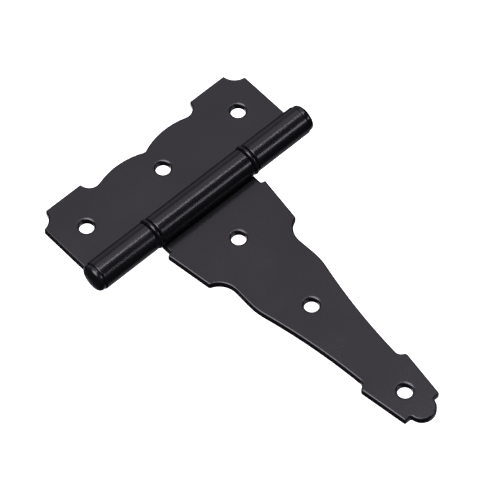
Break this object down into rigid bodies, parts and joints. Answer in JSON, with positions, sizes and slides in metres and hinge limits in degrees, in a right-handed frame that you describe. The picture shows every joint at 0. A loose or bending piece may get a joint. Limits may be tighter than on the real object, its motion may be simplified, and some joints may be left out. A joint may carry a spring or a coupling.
{
  "type": "t hinge",
  "caption": "Ornamental T hinge: a wide screw-on pad leaf and a long tapered strap leaf that swing about one headed pin.",
  "frame": {"origin": "centre of the pad leaf's middle screw hole, on the leaf's back face, with the hinge open flat", "axes": "+X from the pad leaf along the strap to its tip, +Y along the pin, +Z out of the front face"},
  "size_m": [0.1309, 0.0876, 0.0103],
  "materials": {
    "leaf_coat": "satin black powder coat",
    "pin_coat": "satin black powder coat"
  },
  "bodies": {
    "pad": {"pad_leaf": "leaf_coat", "hinge_pin": "pin_coat"},
    "strap": {"strap_leaf": "leaf_coat"},
    "washer_low": {"washer_left": "pin_coat"},
    "washer_high": {"washer_right": "pin_coat"}
  },
  "joints": [
    {"name": "leaf_hinge", "type": "hinge", "parent": "pad", "child": "strap", "pos_m": [0.0167, 0, 0.00515], "axis": [0, -1, 0], "range_deg": [-90, 180]},
    {"name": "washer_left_spin", "type": "hinge", "parent": "pad", "child": "washer_low", "pos_m": [0.0167, -0.0195, 0.00515], "axis": [0, 1, 0], "continuous": true},
    {"name": "washer_right_spin", "type": "hinge", "parent": "pad", "child": "washer_high", "pos_m": [0.0167, 0.0195, 0.00515], "axis": [0, 1, 0], "continuous": true}
  ]
}
